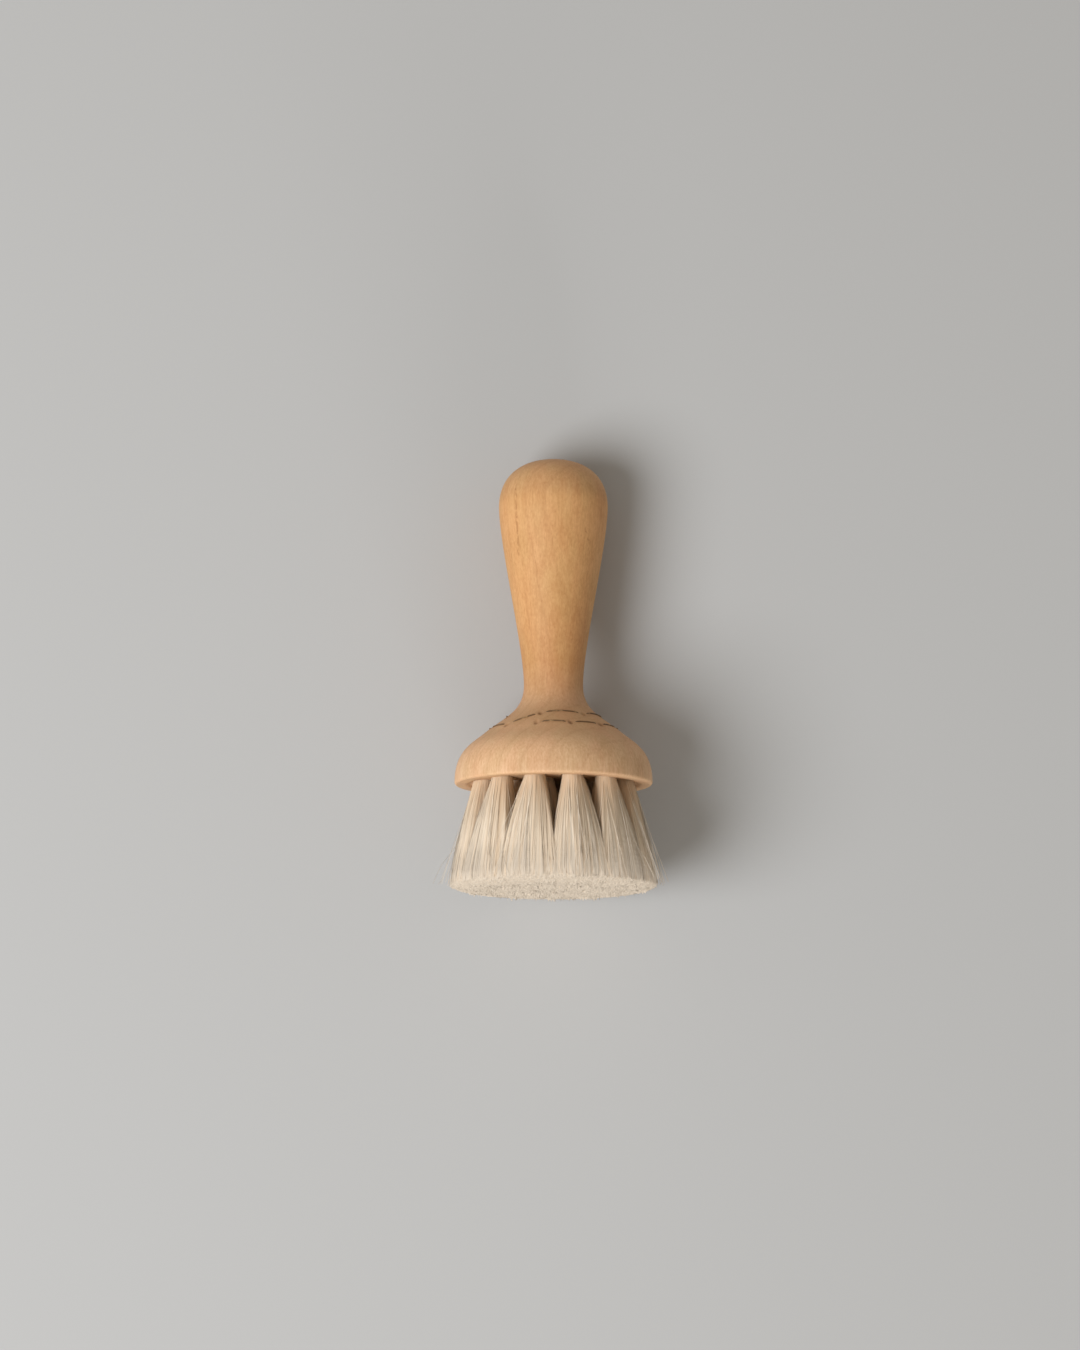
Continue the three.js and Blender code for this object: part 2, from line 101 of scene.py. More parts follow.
hollow_rows = np.linspace((0, HOLLOW_DEPTH), (hollow_radius, HOLLOW_DEPTH), HOLLOW_STEPS + 1)[1:]
land_rows = np.linspace((land_inner, 0), (land_outer, 0), LAND_STEPS + 1)
edge_rows = np.stack([
    land_outer + EDGE_ROUND * np.sin(edge_turn),
    EDGE_ROUND * (1 - np.cos(edge_turn)),
], -1)
rim_rows = bezier(
    (HEAD_RADIUS, EDGE_ROUND),
    (HEAD_RADIUS, EDGE_ROUND + RIM_PULL),
    shoulder - SHOULDER_PULL_DOWN * flare_way,
    shoulder,
    RIM_STEPS,
)
flare_rows = bezier(
    shoulder,
    shoulder + SHOULDER_PULL_UP * flare_way,
    (NECK_RADIUS, NECK_HEIGHT - NECK_PULL_DOWN),
    (NECK_RADIUS, NECK_HEIGHT),
    FLARE_STEPS,
)
grip_rows = bezier(
    (NECK_RADIUS, NECK_HEIGHT),
    (NECK_RADIUS, NECK_HEIGHT + NECK_PULL_UP),
    (KNOB_RADIUS, KNOB_HEIGHT - KNOB_PULL_DOWN),
    (KNOB_RADIUS, KNOB_HEIGHT),
    GRIP_STEPS,
)
dome_rows = bezier(
    (KNOB_RADIUS, KNOB_HEIGHT),
    (KNOB_RADIUS, KNOB_HEIGHT + KNOB_PULL_UP),
    (DOME_PULL, WOOD_LENGTH),
    (0, WOOD_LENGTH),
    DOME_STEPS,
)[:-1]
side_profile = np.concatenate([land_rows, edge_rows, rim_rows[:-DRILLED_RIM_ROWS]])
flare_profile = np.concatenate([rim_rows[-DRILLED_RIM_ROWS:], flare_rows])
top_profile = np.concatenate([grip_rows, dome_rows])
profile = np.concatenate([hollow_rows, side_profile, flare_profile, top_profile])


def flare_height(radius):
    """Height of the flare at a radius, read between the rows of its profile."""
    return np.interp(radius, flare_profile[::-1, 0], flare_profile[::-1, 1])


def polar(radius, angle, height):
    """Points round the brush's axis: (radius sin angle, height, radius cos angle)."""
    spots = np.broadcast_arrays(radius * np.sin(angle), height, radius * np.cos(angle))
    return np.stack(spots, -1)


class Ring:
    """A ring of tufts: each has an angle, a socket mouth on the underside and a wire hole on the
    flare, and axes across the ring, down its leaning hole and away from the brush's axis."""

    def __init__(self, name, count, first_angle, mouth_radius, hole_radius):
        self.name = name
        self.count = count
        self.mouth_radius = mouth_radius
        self.hole_radius = hole_radius
        self.angles = np.radians(first_angle) - 2 * np.pi / count * np.arange(count)
        self.mouths = polar(mouth_radius, self.angles, 0)
        self.holes = polar(hole_radius, self.angles, flare_height(hole_radius))
        drop = self.mouths - self.holes
        self.depths = np.linalg.norm(drop, axis=-1)
        self.down = drop / self.depths[:, None]
        self.across = polar(1, self.angles + np.pi / 2, 0)
        self.outward = polar(1, self.angles, 0)


inner_ring = Ring("inner", count=7, first_angle=-66.4, mouth_radius=9.5, hole_radius=12.5)
outer_ring = Ring("outer", count=12, first_angle=-45, mouth_radius=18.2, hole_radius=16.4)
rings = [inner_ring, outer_ring]
all_mouths = np.concatenate([ring.mouths for ring in rings])
all_holes = np.concatenate([ring.holes for ring in rings])
all_down = np.concatenate([ring.down for ring in rings])

SOCKET_RADIUS = 2.6
SOCKET_WELL = 3.0
SOCKET_EDGE = 0.5
HOLE_RADIUS = 0.4
HOLE_WELL = 0.7
HOLE_EDGE = 0.8


def smooth_step(share):
    """3s^2 - 2s^3 of a share that is held between 0 and 1."""
    share = np.clip(share, 0, 1)
    return share * share * (3 - 2 * share)


def drilled(points, starts, ways, radius, depth, edge):
    """Points inside a hole's line by its radius move along the hole by its depth, easing in over
    the width of its worn edge."""
    offset = points[..., None, :] - starts
    along = (offset * ways).sum(-1, keepdims=True)
    distance = np.linalg.norm(offset - along * ways, axis=-1)
    share = smooth_step((radius - distance) / edge + 0.5)
    return points + (depth * share[..., None] * ways).sum(-2)


def turned(rows):
    """Rows of (radius, height) carried round the axis in even columns."""
    angle = np.linspace(0, 2 * np.pi, COLUMNS, endpoint=False)
    return polar(rows[:, :1], angle[None], rows[:, 1:])


wood_rows = np.concatenate([
    drilled(turned(hollow_rows), all_mouths, -all_down, SOCKET_RADIUS, SOCKET_WELL, SOCKET_EDGE),
    turned(side_profile),
    drilled(turned(flare_profile), all_holes, all_down, HOLE_RADIUS, HOLE_WELL, HOLE_EDGE),
    turned(top_profile),
])
poles = np.array([(0, HOLLOW_DEPTH, 0), (0, WOOD_LENGTH, 0)])


def band_faces(rows, columns):
    """Quads between neighbouring rows of a grid that closes on itself round its columns."""
    index = np.arange(rows * columns).reshape(rows, columns)
    right = np.roll(index, -1, axis=1)
    return np.stack([index[:-1], right[:-1], right[1:], index[1:]], -1).reshape(-1, 4)


def end_fans(rows, columns):
    """Triangles that close such a grid at its first and last row, each on one more point. The two
    points come straight after the grid's own."""
    first = np.arange(columns)
    last = first + (rows - 1) * columns
    near = np.full(columns, rows * columns)
    first_fan = np.stack([near, np.roll(first, -1), first], -1)
    last_fan = np.stack([last, np.roll(last, -1), near + 1], -1)
    return np.concatenate([first_fan, last_fan])


# The brush lies on its rim and its knob. The mount on the bare land under the rim gives the middle
# of the underside and the way that the handle points.
MILLIMETRE = 0.001
land = frame["record"]["mounts"][0]
handle_way = -np.array(land["axis"])
underside = np.array([0.0, *land["pos_m"][1:]])
brush_axes = np.array([(1, 0, 0), handle_way, np.cross((1, 0, 0), handle_way)])


def laid(points):
    """Points of the brush in its own frame, in millimetres from the middle of the underside with
    y up the handle and z on the upper side, placed where the brush lies, in metres."""
    return underside + MILLIMETRE * (points @ brush_axes)


def surface(name, points, *faces):
    """A smooth mesh of the laid points, with one array of corners for each number of sides."""
    mesh = bpy.data.meshes.new(name)
    corners = np.concatenate([part.ravel() for part in faces])
    sides = np.concatenate([np.full(len(part), part.shape[1]) for part in faces])
    mesh.vertices.add(len(points))
    mesh.vertices.foreach_set("co", laid(points).astype(np.float32).ravel())
    mesh.loops.add(len(corners))
    mesh.loops.foreach_set("vertex_index", corners.astype(np.int32))
    mesh.polygons.add(len(sides))
    mesh.polygons.foreach_set("loop_start", (np.cumsum(sides) - sides).astype(np.int32))
    mesh.polygons.foreach_set("use_smooth", np.ones(len(sides), bool))
    mesh.update(calc_edges=True)
    mesh.validate()
    piece = bpy.data.objects.new(name, mesh)
    bpy.context.scene.collection.objects.link(piece)
    return piece


handle = surface(
    "birch_handle",
    np.concatenate([wood_rows.reshape(-1, 3), poles]),
    band_faces(len(wood_rows), COLUMNS),
    end_fans(len(wood_rows), COLUMNS),
)

# How much end grain the surface shows, from none along the grip to all of it on the ends, and how
# far a painted shade spreads round the wire holes, standing in for the dark inside them.
END_GRAIN_POWER = 1.5
HOLE_SHADE_SIZE = 0.75
HOLE_SHADE_SEED = 4
LEAST_HOLE_SHADE = 0.3


def point_values(piece, name, values):
    """Keeps one number for each point of a piece's mesh, which its material reads by this name."""
    attribute = piece.data.attributes.new(name, "FLOAT", "POINT")
    attribute.data.foreach_set("value", values.astype(np.float32))


run = np.gradient(profile, axis=0)
end_facing = np.abs(run[:, 0]) / np.linalg.norm(run, axis=1)
end_share = np.repeat(smooth_step(end_facing**END_GRAIN_POWER), COLUMNS)
point_values(handle, "end_grain", np.append(end_share, [1, 1]))
# Painted shade round each wire hole, of a random strength at each, darkest at the hole.
hole_shade_strength = np.random.default_rng(HOLE_SHADE_SEED).uniform(LEAST_HOLE_SHADE, 1, len(all_holes))
hole_distance = np.linalg.norm(wood_rows.reshape(-1, 1, 3) - all_holes, axis=2)
hole_shade_share = (hole_shade_strength * np.exp(-(hole_distance / HOLE_SHADE_SIZE) ** 2)).max(1)
point_values(handle, "stain", np.append(hole_shade_share, [0, 0]))

# Colours of the wood: its own at each height, and what the grain, the lines in it, a pink flush and
# the painted shade round the wire holes multiply it by.
WOOD_TONES = [
    (0, (0.77, 0.505, 0.29)),
    (9, (0.76, 0.49, 0.275)),
    (15, (0.7, 0.435, 0.23)),
    (20, (0.64, 0.39, 0.213)),
    (25, (0.59, 0.33, 0.155)),
    (31, (0.6, 0.32, 0.128)),
    (45, (0.68, 0.38, 0.155)),
    (71.5, (0.7, 0.396, 0.167)),
    (74.5, (0.64, 0.37, 0.164)),
    (79, (0.655, 0.388, 0.182)),
    (WOOD_LENGTH, (0.71, 0.43, 0.22)),
]
PALE_GRAIN = (1.11, 1.15, 1.2, 1)
DARK_GRAIN = (0.88, 0.81, 0.73, 1)
BROWN_LINE = (0.62, 0.5, 0.4, 1)
PINK_FLUSH = (1.04, 0.96, 0.98, 1)
HOLE_SHADE = (0.36, 0.27, 0.2, 1)

# The pith of the tree lay beside and below the brush. Two short brown lines on the upper side each
# have a place across, a lean, a top and a bottom.
PITH_X = -31.0
PITH_Z = -20.0
YEAR_WIDTH = 4.2
YEAR_WANDER = 2.2
BROWN_MARKS = [(-9.6, 0.041, 74.7, 57.6), (7.9, 0.33, 64.0, 60.4)]
MARK_EDGES = (0.1, 0.4)
MARK_FADE = 1.0
GRAIN_RELIEF = 0.1

# How strongly each pattern shows, and how dull the oil is.
END_GRAIN_CALM = 0.5
FLUSH_STRENGTH = 0.6
YEAR_STRENGTH = 0.16
PORE_STRENGTH = 0.3
MARK_STRENGTH = 0.65
RELIEF_STRENGTH = 0.12
OIL_ROUGHNESS = 0.56
FINE_ROUGHNESS = 0.1
END_ROUGHNESS = 0.06


class Shade:
    """A socket in a material's nodes. Operators on values add Math nodes, and make() adds any
    other node."""

    def __init__(self, tree, socket=None):
        self.tree = tree
        self.socket = socket

    def fill(self, node, inputs):
        """Sets sockets of a node to numbers and colours, or links them to other shades."""
        for name, value in dict(inputs).items():
            if isinstance(value, Shade):
                self.tree.links.new(value.socket, node.inputs[name])
            else:
                node.inputs[name].default_value = value

    def make(self, kind, settings=(), inputs=(), output=0):
        """A node of this kind with its settings, or its ramp's stops, and then its sockets set
        or linked. Returns one of its outputs."""
        node = self.tree.nodes.new("ShaderNode" + kind)
        for name, value in dict(settings).items():
            if name == "stops":
                for _ in value[2:]:
                    node.color_ramp.elements.new(1)
                for element, (place, colour) in zip(node.color_ramp.elements, value):
                    element.position = place
                    element.color = (*colour, 1)
            else:
                setattr(node, name, value)
        self.fill(node, inputs)
        return Shade(self.tree, node.outputs[output])

    def maths(self, operation, first, second=0.0):
        """A Math node on two values."""
        return self.make("Math", {"operation": operation}, {0: first, 1: second})

    def __add__(self, other):
        return self.maths("ADD", self, other)

    def __sub__(self, other):
        return self.maths("SUBTRACT", self, other)

    def __rsub__(self, other):
        return self.maths("SUBTRACT", other, self)

    def __mul__(self, other):
        return self.maths("MULTIPLY", self, other)

    def __pow__(self, other):
        return self.maths("POWER", self, other)

    __radd__ = __add__
    __rmul__ = __mul__

    def between(self, low, high):
        """0 below low, 1 above high, and a smooth rise from one to the other."""
        settings = {"interpolation_type": "SMOOTHSTEP"}
        return self.make("MapRange", settings, {"Value": self, "From Min": low, "From Max": high})

    def mixed(self, first, second, blend="MIX"):
        """The first colour where this value is 0 and the second, blended in, where it is 1."""
        settings = {"data_type": "RGBA", "blend_type": blend}
        return self.make("Mix", settings, {0: self, 6: first, 7: second}, output=2)

    def tints(self, colour, by):
        """The colour, multiplied by another as far as this value says."""
        return self.mixed(colour, by, "MULTIPLY")

    def finish(self, inputs):
        """Sets or links the sockets of the material's own Principled node."""
        self.fill(self.tree.nodes["Principled BSDF"], inputs)


def new_material(name):
    """A material and a Shade to build its nodes on."""
    material = bpy.data.materials.new(name)
    material.use_nodes = True
    return material, Shade(material.node_tree)


def birch():
    """Oiled birch, of a tone that changes along the handle: straight fine grain, a mottled figure
    with a pink flush, faint growth rings about the pith, short dark pores, two brown lines, and
    painted shade round the wire holes. On end grain the pattern is fainter and the oil duller."""
    material, shade = new_material("birch")
    tilt = float(np.arctan2(-handle_way[2], handle_way[1]))
    upright = shade.make("Mapping", {}, {
        "Vector": shade.make("TexCoord", output="Object"),
        "Location": tuple(-brush_axes @ underside / MILLIMETRE),
        "Rotation": (tilt, 0, 0),
        "Scale": (1 / MILLIMETRE,) * 3,
    })
    x, y, z = (shade.make("SeparateXYZ", {}, {0: upright}, output=axis) for axis in range(3))

    def grain(across, along, detail, seed):
        """Noise with this many cells a millimetre across the grain and along it."""
        scale = (across, along, across)
        vector = shade.make("VectorMath", {"operation": "MULTIPLY"}, {0: upright, 1: scale})
        inputs = {"Vector": vector, "W": seed, "Scale": 1.0, "Detail": detail}
        return shade.make("TexNoise", {"noise_dimensions": "4D"}, inputs)

    streaks = grain(across=1.8, along=0.02, detail=3.0, seed=1.0)
    fine = grain(across=4.0, along=0.12, detail=2.0, seed=2.0)
    pores = grain(across=5.0, along=0.35, detail=1.0, seed=3.0).between(0.62, 0.72)
    figure = grain(across=0.28, along=0.16, detail=2.0, seed=4.0)
    patches = grain(across=2.2, along=1.1, detail=2.0, seed=5.0)
    wander = grain(across=0.06, along=0.012, detail=2.0, seed=6.0)
    flush = grain(across=0.22, along=0.07, detail=1.0, seed=7.0).between(0.35, 0.65)
    broken = grain(across=1.0, along=0.9, detail=2.0, seed=8.0).between(0.35, 0.6)
    end_grain = shade.make("Attribute", {"attribute_name": "end_grain"}, output="Fac")
    stain = shade.make("Attribute", {"attribute_name": "stain"}, output="Fac")

    stops = [(height / WOOD_LENGTH, colour) for height, colour in WOOD_TONES]
    wood = shade.make("ValToRGB", {"stops": stops}, {0: y * (1 / WOOD_LENGTH)})
    layers = [(streaks, 0.8), (figure, 0.7), (patches, 0.9), (fine, 0.6)]
    pattern = 0.5 + sum((layer - 0.5) * strength for layer, strength in layers)
    grained = pattern.between(0.05, 0.95).mixed(DARK_GRAIN, PALE_GRAIN)
    wood = (1 - end_grain * END_GRAIN_CALM).tints(wood, grained)
    wood = (flush * FLUSH_STRENGTH).tints(wood, PINK_FLUSH)
    from_pith = shade.maths("SQRT", (x - PITH_X) ** 2 + (z - PITH_Z) ** 2)
    year = shade.maths("FRACT", from_pith * (1 / YEAR_WIDTH) + wander * YEAR_WANDER)
    year_line = year.between(0.7, 0.96) * (1 - year.between(0.96, 1.0))
    wood = (year_line * YEAR_STRENGTH).tints(wood, BROWN_LINE)
    wood = (pores * PORE_STRENGTH).tints(wood, BROWN_LINE)
    for place, lean, top, bottom in BROWN_MARKS:
        aside = shade.maths("ABSOLUTE", x - (top - y) * lean - place)
        above = y.between(bottom - MARK_FADE, bottom + MARK_FADE)
        below = 1 - y.between(top - MARK_FADE, top + MARK_FADE)
        mark = (1 - aside.between(*MARK_EDGES)) * above * below * z.between(0.0, 1.0) * broken
        wood = (mark * MARK_STRENGTH).tints(wood, BROWN_LINE)
    # Painted shade: the wood darkens round each wire hole, standing in for the dark inside the holes.
    wood = stain.tints(wood, HOLE_SHADE)

    relief = {
        "Height": fine * 0.5 + streaks * 0.5 - pores,
        "Strength": RELIEF_STRENGTH,
        "Distance": GRAIN_RELIEF * MILLIMETRE,
    }
    shade.finish({
        "Base Color": wood,
        "Roughness": OIL_ROUGHNESS + FINE_ROUGHNESS * fine + END_ROUGHNESS * end_grain,
        "Normal": shade.make("Bump", {}, relief),
        "IOR": 1.5,
        "Specular IOR Level": 0.4,
    })
    return material


handle.data.materials.append(birch())
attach(handle, "root")
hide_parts("turned_handle")

# Drawing wire: one length of thin brass wire, dulled brown. It lies on the flare from hole to hole,
# dips into each hole, passes through the fold of the tuft there and pulls it up into its socket.
WIRE_RADIUS = 0.18
WIRE_SIDES = 8
CORNER_CUTS = 3

# In a hole, two legs hang close together and part round the eye of the fold.
LEG_OFFSET = 0.24
LEG_TOP = 0.9
EYE_HALF = 1.3
EYE_HEIGHT = 6.7
EYE_LENGTH = 2.0
PARTING_LENGTH = 1.0

# On the flare, a stitch stands proud of the wood and sinks into it on its way to each hole.
STITCH_POINTS = 25
STITCH_PROUD = 0.6 * WIRE_RADIUS
SINK_DEPTH = 0.6
SINK_SPAN = [0.5, 1.7]
SLOPE_STEP = 0.1

BROWNED_WIRE = (0.2, 0.12, 0.06, 1)
RUBBED_WIRE = (0.5, 0.33, 0.17, 1)
RUBBED_SPOTS_PER_METRE = 700.0


def dip(ring, index):
    """Down one side of a hole, through the eye of the fold, and up the other side."""
    low = ring.depths[index] - EYE_HEIGHT
    eye_top = low - EYE_LENGTH
    parting = eye_top - PARTING_LENGTH
    legs = [(LEG_OFFSET, LEG_TOP), (LEG_OFFSET, parting), (EYE_HALF, eye_top), (EYE_HALF, low)]
    sides = np.array(legs + [(-aside, depth) for aside, depth in legs[::-1]])
    return ring.holes[index] + sides[:, :1] * ring.across[index] + sides[:, 1:] * ring.down[index]


def stitch(start_angle, start_radius, end_angle, end_radius):
    """On the flare from one hole to the next by the shortest way, which on a cone is a straight line
    once the cone is rolled flat. The ends sink into the wood before they reach the holes."""
    share = np.linspace(0, 1, STITCH_POINTS)
    turn = (start_angle - end_angle) % (2 * np.pi)
    flat = np.cos(flare_slope) * turn / 2
    radius = start_radius + share * (end_radius - start_radius)
    radius *= np.cos(flat) / np.cos(flat * (2 * share - 1))
    angle = start_angle - share * turn
    near_hole = np.minimum(share, 1 - share) * turn * radius
    rise = (flare_height(radius - SLOPE_STEP) - flare_height(radius + SLOPE_STEP)) / (2 * SLOPE_STEP)
    lift = np.interp(near_hole, SINK_SPAN, [-SINK_DEPTH, STITCH_PROUD]) / np.sqrt(1 + rise**2)
    return polar(radius + lift * rise, angle, flare_height(radius) + lift)


def rounded(points):
    """A line whose every corner is cut, several times over, at a quarter and three quarters of the
    straight pieces beside it."""
    for _ in range(CORNER_CUTS):
        near = 0.75 * points[:-1] + 0.25 * points[1:]
        far = 0.25 * points[:-1] + 0.75 * points[1:]
        cut = np.stack([near, far], 1).reshape(-1, 3)
        points = np.concatenate([points[:1], cut, points[-1:]])
    return points


def tube(line):
    """A round section carried along a line, turned so that it always faces the brush's axis."""
    tangent = np.gradient(line, axis=0)
    tangent /= np.linalg.norm(tangent, axis=1, keepdims=True)
    side = np.cross(tangent, line * (1, 0, 1))
    side /= np.linalg.norm(side, axis=1, keepdims=True)
    other = np.cross(tangent, side)
    turn = np.linspace(0, 2 * np.pi, WIRE_SIDES, endpoint=False)[:, None]
    section = np.cos(turn) * side[:, None] + np.sin(turn) * other[:, None]
    return line[:, None] + WIRE_RADIUS * section


def dull_brass():
    """Thin brass wire, browned, with the metal's own colour left where it is rubbed."""
    material, shade = new_material("dull_brass")
    place = shade.make("TexCoord", output="Object")
    spots = {"Vector": place, "Scale": RUBBED_SPOTS_PER_METRE, "Detail": 2.0}
    rubbed = shade.make("TexNoise", {}, spots).between(0.5, 0.75)
    shade.finish({
        "Base Color": rubbed.mixed(BROWNED_WIRE, RUBBED_WIRE),
        "Metallic": 0.4,
        "Roughness": 0.45,
    })
    return material


tuft_order = [(ring, index) for ring in rings for index in range(ring.count)]
route = []
for (ring, index), following in zip(tuft_order, tuft_order[1:] + [None]):
    route.append(dip(ring, index))
    if following:
        after, place = following
        route.append(stitch(ring.angles[index], ring.hole_radius, after.angles[place], after.hole_radius))
wire_rows = tube(rounded(np.concatenate(route)))
wire_start = np.arange(WIRE_SIDES)[None]
wire_end = wire_start + (len(wire_rows) - 1) * WIRE_SIDES
wire = surface(
    "stitched_wire",
    wire_rows.reshape(-1, 3),
    band_faces(len(wire_rows), WIRE_SIDES),
    wire_start[:, ::-1],
    wire_end,
)
wire.data.materials.append(dull_brass())
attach(wire, "root")
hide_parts("drawing_wire")

# Tufts: goat hair, folded over the wire and drawn into the sockets so that both halves hang out as
# one tuft. Each tuft is a packed bundle in locks, with looser hairs lying over it, and it fans out
# from its socket until the tips of all the tufts fill one trimmed face.
BUNDLE_RADIUS = 2.6
HAIR_LENGTH = 26.6
FAN_POWER = 1.6

# The trimmed face: a low dome with a round edge. The tips of the two rings lap where it is split.
TIP_RADIUS = 26.0
TIP_SPLIT = 16.45
TIP_LAP = 0.4
TIP_DOME = 0.8
TIP_ROUND = 1.5
TIP_ROUND_WIDTH = 6.0

# A tuft's share of the face has corners rounded by this power. A ray that nears a side of the share
# more slowly than the least rate doesn't leave by it.
CORNER_POWER = 36
LEAST_RATE = 0.01


class Fan:
    """How the tufts of a ring open, each from its socket to its share of the trimmed face. The
    share is a sector between two circles about the brush's axis and two sides, which overlap those
    of its neighbours and meet at the axis or a little past it."""

    def __init__(self, ring, tip_inner, tip_outer, overlap, past):
        self.ring = ring
        self.tip_inner = tip_inner
        self.tip_outer = tip_outer
        self.middle = (2 / 3) * (tip_outer**3 - tip_inner**3) / (tip_outer**2 - tip_inner**2)
        self.half_angle = overlap * np.pi / ring.count
        self.side_distance = (self.middle + past) * np.sin(self.half_angle)

    def reach(self, turn):
        """How far a ray from the middle of a share goes before it leaves the share. The distances d
        to the two circles and the nearer side give (sum of d^-p)^(-1/p), which rounds the corners."""
        across = np.abs(np.cos(turn))
        out = np.sin(turn)
        offset = self.middle**2 * (out**2 - 1)
        outer = -self.middle * out + np.sqrt(offset + self.tip_outer**2)
        rate = across * np.cos(self.half_angle) - out * np.sin(self.half_angle)
        side = np.where(rate > LEAST_RATE, self.side_distance / np.maximum(rate, LEAST_RATE), np.inf)
        crossing = offset + self.tip_inner**2
        meets = (out < 0) & (crossing > 0)
        inner = np.where(meets, -self.middle * out - np.sqrt(np.maximum(crossing, 0)), np.inf)
        inverse = outer**-CORNER_POWER + side**-CORNER_POWER + inner**-CORNER_POWER
        return inverse ** (-1 / CORNER_POWER)


inner_fan = Fan(inner_ring, 0, TIP_SPLIT + TIP_LAP, overlap=1.14, past=1.0)
outer_fan = Fan(outer_ring, TIP_SPLIT - TIP_LAP, TIP_RADIUS, overlap=1.07, past=0.0)

# Locks: their widths, and how much they differ in tone, height and length, the last two as shares
# of the tuft's radius and length. A groove parts each two, with shade painted into it. Locks are full
# between two parts of the length, and wander round the tuft in a few slow waves.
LOCKS = 32
LOCK_WIDTHS = (0.45, 1.55)
LOCK_TONES = 0.06
LOCK_HEIGHTS = 0.01
LOCK_LENGTHS = 0.012
LOCK_PARTS = [0, 0.25, 0.6, 0.9]
LOCK_FULLNESS = [0.35, 1, 1, 0]
LOCK_WANDER = 0.22
WANDER_WAVES = 3
WANDER_MIDDLE = 0.4
GROOVE_DEPTH = 0.021
GROOVE_LENGTH = 0.016
# Painted shade in the grooves between locks.
GROOVE_SHADE = 0.09
GROOVE_POWER = 4
MEAN_TONE = 0.6

# Rows of a packed bundle, each a part of the hair's length and a share of the tuft's radius: down
# the side, round the edge, and in over the trimmed face.
BUNDLE_COLUMNS = 300
ROOT_PART = -0.09
FACE_PART = 0.998
SIDE_PARTS = [ROOT_PART, 0, 0.1, 0.2, 0.3, 0.4, 0.5, 0.6, 0.66, 0.72, 0.77, 0.82, 0.86, 0.9, 0.925]
EDGE_ROWS = [(0.945, 0.998), (0.963, 0.993), (0.978, 0.984), (0.989, 0.969), (0.995, 0.95)]
FACE_OUTER = 0.925
FACE_INNER = 0.05
FACE_ROWS = 25
BUNDLE_ROWS = np.concatenate([
    [(part, 1) for part in SIDE_PARTS],
    EDGE_ROWS,
    np.linspace((FACE_PART, FACE_OUTER), (FACE_PART, FACE_INNER), FACE_ROWS),
])
POLE_TONE = 0.5

# Fine ridges run down the side of a bundle, and its face is cut unevenly, in waves of many lengths.
SIDE_SHARE = 0.9
SIDE_EASE = 0.08
RIDGE_DEPTH = 0.004
RIDGE_LENGTH = 0.007
RIDGE_TONE = 0.07
RIDGE_BREAK = 0.5
FACE_FROM = 0.9
FACE_EASE = 0.09
FACE_UNEVEN = 0.003
FACE_TONE = 0.07
FACE_WAVE = 1.0
FACE_WAVES = 40
FACE_WAVE_SPREAD = (-0.7, 1.1)

# Single hairs bow a little and differ in thickness and tone, and none goes under the floor.
HAIR_SIDES = 3
HAIR_BOW = 0.12
HAIR_TONES = 0.09
HAIR_THICKNESSES = (0.6, 1.2)
SPLAY_POWER = 1.3
FLOOR_GAP = 0.2


def ripple(spots, rng):
    """Noise over a plane: the sum of sine waves in random directions, each from half to three times
    as long as FACE_WAVE, scaled so that its spread is 1."""
    turn, phase = rng.uniform(0, 2 * np.pi, (2, FACE_WAVES))
    size = 2 * np.pi / (FACE_WAVE * np.exp(rng.uniform(*FACE_WAVE_SPREAD, FACE_WAVES)))
    ways = size * np.stack([np.cos(turn), np.sin(turn)])
    return np.sin(spots @ ways + phase).sum(-1) * np.sqrt(2 / FACE_WAVES)


